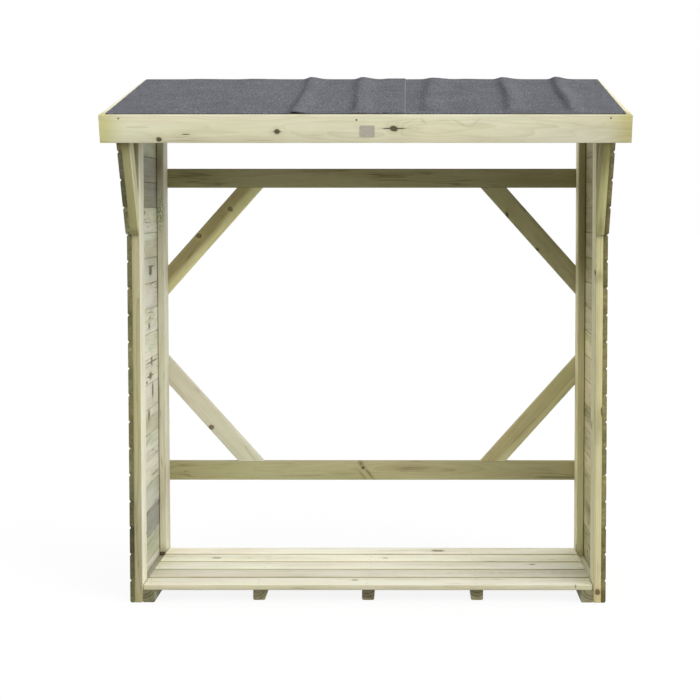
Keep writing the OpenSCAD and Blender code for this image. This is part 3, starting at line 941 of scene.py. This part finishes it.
roof_deck()
slope_board("centre_rafter", 0, RAFTER_W, RAFTER_H, 0, FRAME_TIMBER)
fascia_start = roof_point(-ROOF_HALF, -RUN_FRONT + FASCIA_T / 2, DECK_T - FASCIA_H / 2)
add_squared(
    "fascia", 2 * ROOF_HALF, (FASCIA_H, FASCIA_T, TRIM_EASE), (fascia_start, X_AXIS, OFF_SLOPE),
    TRIM_TIMBER, (1.0, 0.12, 0.1), slot="trim_timber", pith=(0.01, -0.05))
for side, sign in SIDES:
    slope_board(
        f"{side}_barge_board", sign * (ROOF_HALF - BARGE_T / 2), BARGE_T, FASCIA_H, DECK_T,
        TRIM_TIMBER, (1.06, 0.1, 0.1), slot="trim_timber")


# Felt

FELT_RIDGES = [  # place in front and behind, height in front and behind, width
    (-0.239, -0.235, 0.0080, 0.0075, 0.026),
    (-0.031, -0.039, 0.0030, 0.0080, 0.028),
    (0.206, 0.238, 0.0008, 0.0072, 0.038),
    (0.499, 0.518, 0.0008, 0.0100, 0.030),
    (0.702, 0.722, 0.0008, 0.0100, 0.026),
    (-0.480, -0.470, 0.0005, 0.0018, 0.050),
    (-0.700, -0.690, 0.0005, 0.0015, 0.060),
    (0.350, 0.370, 0.0005, 0.0022, 0.045),
]
RIDGE_FOOT = 0.13  # share of the roof over which a ridge rises
RIDGE_SWAY, RIDGE_SWELL = 0.004, 0.2
SOFT_SIDE, STEEP_SIDE = 0.5, 2.2  # how fast a ridge falls off to its right and left
BOARD_DIP = 0.0004  # half of how far the felt sinks between the roof boards
FELT_IN_FRONT, FELT_IN_BACK = 0.02, 0.009  # from the roof's edge in to the felt's
FELT_STEP_X, FELT_STEP_Y = 0.005, 0.02
BEND_OUT, BEND_DOWN = 0.0008, 0.003  # the rounded bend at the back edge
SLOPE_FULL_SHADE, SLOPE_READ_REACH = 0.45, 0.004  # the slope at which the painted shade and light are full, and how far to each side it is read
LAP_RAMP, LAP_FLAT = 0.042, 0.045  # the climb over the lower sheet, and its start before the lap


def smooth_step(value):
    value = min(max(value, 0), 1)
    return value * value * (3 - 2 * value)


def felt_rise(x, share):
    """How far the felt stands off the boards, by the place across and the share of the depth."""
    rise = BOARD_DIP * (1 - math.cos(math.tau * share * ROOF_RUN / DECK_COVER))
    lifted = smooth_step(share / RIDGE_FOOT)
    for x_front, x_back, front_height, back_height, width in FELT_RIDGES:
        middle = x_front + (x_back - x_front) * share + RIDGE_SWAY * math.sin(7 * share + 9 * x_front)
        aside = (x - middle) / width
        height = front_height + (back_height - front_height) * lifted
        height *= 1.0 + RIDGE_SWELL * lifted * math.sin(9 * share + 5 * x_front)
        rise += height * math.exp(-aside * aside * (SOFT_SIDE if aside > 0 else STEEP_SIDE))
    return rise


def drawn_out(sheet, edges):
    """Pulls strips from a sheet's edges: the corners to move, and the edges between them."""
    made = bmesh.ops.extrude_edge_only(sheet, edges=edges)["geom"]
    corners = only(bmesh.types.BMVert, made)
    return corners, [e for e in only(bmesh.types.BMEdge, made) if all(v in corners for v in e.verts)]


def felt_sheet(name, node, x_low, x_high, lift):
    """One sheet over the boards, turned down at the back, lift telling its height at a place across."""
    sheet = bmesh.new()
    across, up = round((x_high - x_low) / FELT_STEP_X), round(ROOF_RUN / FELT_STEP_Y)
    bmesh.ops.create_grid(sheet, x_segments=across, y_segments=up, size=0.5)
    slope_shade = sheet.verts.layers.float.new("slope_shade")
    for vert in sheet.verts:
        share = vert.co.y + 0.5
        reach = ROOF_HALF - FELT_IN_FRONT - (FELT_IN_BACK - FELT_IN_FRONT) * share
        left, right = max(x_low, -reach), min(x_high, reach)
        x = left + (vert.co.x + 0.5) * (right - left)
        vert.co = roof_point(x, -RUN_DECK + share * ROOF_RUN, DECK_T + lift(x) + felt_rise(x, share))
        # The felt's slope across, which sets its painted shade and light
        climb = felt_rise(x + SLOPE_READ_REACH, share) - felt_rise(x - SLOPE_READ_REACH, share)
        vert[slope_shade] = min(max(climb / (2 * SLOPE_READ_REACH) / SLOPE_FULL_SHADE, -1.0), 1.0)

    back = roof_point(0, RUN_BACK, 0)
    edges = [
        e for e in sheet.edges
        if e.is_boundary and all((v.co - back).dot(UP_SLOPE) > -1e-4 for v in e.verts)]
    corners, edges = drawn_out(sheet, edges)
    for vert in corners:
        vert.co += UP_SLOPE * BEND_OUT - OFF_SLOPE * BEND_DOWN
    corners, edges = drawn_out(sheet, edges)
    for vert in corners:
        height = (vert.co - roof_point(0, 0, 0)).dot(OFF_SLOPE)
        vert.co -= OFF_SLOPE * (height + FELT_LIP)

    bmesh.ops.recalc_face_normals(sheet, faces=sheet.faces)
    if sum(f.normal.z for f in sheet.faces) < 0:
        bmesh.ops.reverse_faces(sheet, faces=sheet.faces)
    bmesh.ops.solidify(sheet, geom=sheet.faces[:], thickness=-FELT_T)
    bmesh.ops.recalc_face_normals(sheet, faces=sheet.faces)
    return add_piece(name, sheet, FELT, node, "roof_felt", 60)


def lap_lift(x):
    """The left sheet climbs over the right one's edge."""
    return FELT_T * smooth_step((x - (LAP_X - LAP_W - LAP_FLAT)) / LAP_RAMP)


left_sheet = felt_sheet("left_felt_sheet", "left_felt", -ROOF_HALF, LAP_X, lap_lift)
right_sheet = felt_sheet("right_felt_sheet", "right_felt", LAP_X - LAP_W, ROOF_HALF, lambda x: 0.0)


# Fixings

HEAD_SIDES, HEAD_H, HEAD_TOP = 10, 0.25, 0.75  # height and top radius as shares of a head's radius
PAIR, CLAD_PAIR = (0.25, 0.75), (0.25, 0.72)  # two nails' places, as shares of a width
CLAD_NAIL_ROWS, CLAD_NAIL_CLEAR = 20, 0.02  # rows that may hold nails, and the space below the roof
CLAD_STRAY, FLOOR_STRAY = 0.02, 0.006  # how far nails stray from their line
BRACE_SCREW_IN, BRACE_SCREW_DROPS = 0.012, (0.88, 1.0)
FASCIA_NAILS = ((-0.833, 0.011), (-0.03, 0.016), (0.827, 0.01))


def nail_heads(name, places, radius):
    """Low tapered heads, each given by its place and facing."""
    heads = bmesh.new()
    height = radius * HEAD_H
    for place, facing in places:
        turn = facing.to_track_quat("Z", "Y").to_matrix().to_4x4()
        seat = Matrix.Translation(place) @ turn @ Matrix.Translation((0, 0, height / 2))
        bmesh.ops.create_cone(
            heads, cap_ends=True, segments=HEAD_SIDES, radius1=radius, radius2=radius * HEAD_TOP,
            depth=height, matrix=seat)
    add_piece(name, heads, NAIL_ZINC)


def cladding_nails(rng):
    posts = (FRONT + POST_D / 2, BACK - POST_D / 2)
    for (_, sign), row, post_y, share in product(SIDES, range(CLAD_NAIL_ROWS), posts, CLAD_PAIR):
        y = post_y + rng.uniform(-CLAD_STRAY, CLAD_STRAY)
        place = Vector((sign * CLAD_OUT, y, row_low(row) + share * CLAD_COVER))
        if place.z < EAVES + (place.y - FRONT) * SLOPE - CLAD_NAIL_CLEAR:
            yield place, X_AXIS * sign


def floor_nails(rng):
    for bearer, slat, share in product(FLOOR_ROWS, FLOOR_ROWS, PAIR):
        low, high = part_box(f"floor_bearer_{bearer}")
        x = (low.x + high.x) / 2 + rng.uniform(-FLOOR_STRAY, FLOOR_STRAY)
        yield on_slat(slat, x, share), Z_AXIS


def back_screws():
    rails = ((rail_low, rail_high), (sill_low, sill_high))
    braced = ((rail_low.z, 1), (sill_high.z, -1))
    for _, sign in SIDES:
        for (low, high), share in product(rails, PAIR):
            yield Vector((sign * POST_MID, high.y, low.z + share * (high.z - low.z))), Y_AXIS
        for (rail_z, up), drop in product(braced, BRACE_SCREW_DROPS):
            z = rail_z - up * BRACE_DROP * drop
            yield Vector((sign * (POST_IN + BRACE_SCREW_IN), rail_high.y, z)), Y_AXIS


nail_rng = random.Random("nails")
nail_heads("cladding_nails", cladding_nails(nail_rng), 0.0028)
nail_heads("floor_nails", floor_nails(nail_rng), 0.0018)
nail_heads("fascia_nails", [(on_fascia(x, down), -UP_SLOPE) for x, down in FASCIA_NAILS], 0.0035)
nail_heads("back_screws", back_screws(), 0.0045)

PLATE_SIZE, PLATE_CORNER, PLATE_RIM = (0.05, 0.039, 0.0016), 0.004, 0.0004
PLATE_X, PLATE_DOWN, PLATE_PROUD = 0.0056, 0.0547, 0.0006


def bare_plate():
    """A bare zinc plate on the fascia, its edges broken."""
    plate = bmesh.new()
    bmesh.ops.create_cube(plate, size=1.0, matrix=Matrix.Diagonal((*PLATE_SIZE, 1)))
    corners = [e for e in plate.edges if abs(e.verts[0].co.z - e.verts[1].co.z) > 0.001]
    round_edges(plate, corners, PLATE_CORNER, 4)
    rims = [e for e in plate.edges if e.calc_face_angle(0) > 1.0]
    round_edges(plate, rims, PLATE_RIM, 1)
    turn = Matrix((X_AXIS, OFF_SLOPE, X_AXIS.cross(OFF_SLOPE))).transposed().to_4x4()
    place = Matrix.Translation(on_fascia(PLATE_X, PLATE_DOWN) - UP_SLOPE * PLATE_PROUD)
    bmesh.ops.transform(plate, matrix=place @ turn, verts=plate.verts)
    add_piece("bare_plate", plate, PLATE_ZINC)


bare_plate()


# Floor, light and camera

GROUND_HALF, GROUND_Z = 60, -0.0005
GROUND_LIT, GROUND_SEEN, GROUND_GLOW = (0.42, 0.42, 0.41), (0.93, 0.93, 0.93), 0.88
SKY_LOW, SKY_HIGH = (0.71, 0.71, 0.71), (0.83, 0.835, 0.84)
SKY_BEHIND, SKY_SEEN = (1.2, 1.2, 1.2), (1.0, 1.0, 1.0)
# Name, power, spread, and degrees to the right and up
LAMPS = (("key", 0.7, 70, 15, 42), ("side", 2.3, 55, 60, 16))


def pale_floor():
    """A wide floor that the camera sees almost white, with the store's shadow."""
    ground = bmesh.new()
    level = Matrix.Translation((0, 0, GROUND_Z))
    bmesh.ops.create_grid(ground, x_segments=1, y_segments=1, size=GROUND_HALF, matrix=level)
    made, w, skin = new_material("studio_floor")
    nodes, seen = made.node_tree.nodes, w.seen()
    w.fill(skin, {
        "Base Color": w.mix(seen, GROUND_LIT, GROUND_SEEN), "Roughness": 1.0, "Specular IOR Level": 0.0})
    lit, glow = nodes["Principled BSDF"].outputs[0], w.node("Emission")[0]
    blend = w.node("MixShader", (w.mul(seen, GROUND_GLOW), lit, glow))[0]
    w.fill(nodes["Material Output"].inputs, (blend,))
    floor = add_object("studio_floor", mesh_from("studio_floor", ground))
    floor.data.materials.append(made)


def soft_light():
    """A soft light from the right, a weak one from the front, and a sky brightest behind the store."""
    world = bpy.data.worlds.new("studio_sky")
    bpy.context.scene.world = world
    world.use_nodes = True
    w = Wiring(world.node_tree)
    sky = world.node_tree.nodes["Background"].inputs
    aim = w.split(w.node("TexCoord")["Generated"])
    dome = w.mix(w.remap(aim[2], -0.1, 0.7), SKY_LOW, SKY_HIGH)
    dome = w.mix(w.remap(aim[1], 0.1, 0.9), dome, SKY_BEHIND)
    w.fill(sky, {"Color": w.mix(w.seen(), dome, SKY_SEEN), "Strength": 1.0})

    for name, power, spread, right, up in LAMPS:
        lamp = bpy.data.lights.new(name, "SUN")
        lamp.energy = power
        lamp.angle = math.radians(spread)
        add_object(name, lamp).rotation_euler = (math.radians(90 - up), 0.0, math.radians(right))


def set_camera():
    """The photograph's view: low, a little right of the middle, the posts nearly upright."""
    lens = bpy.data.cameras.new("camera")
    lens.lens = 69.33
    lens.sensor_width = 36.0
    lens.shift_x = -0.08
    lens.shift_y = -0.115
    lens.clip_end = 200.0
    camera = add_object("camera", lens)
    camera.location = (0.1462, -4.9609, 1.4101)
    camera.rotation_euler = (math.radians(90 - 2.633), 0.0, math.radians(0.12))
    bpy.context.scene.camera = camera


pale_floor()
soft_light()
set_camera()
bpy.context.scene.view_settings.view_transform = "Standard"
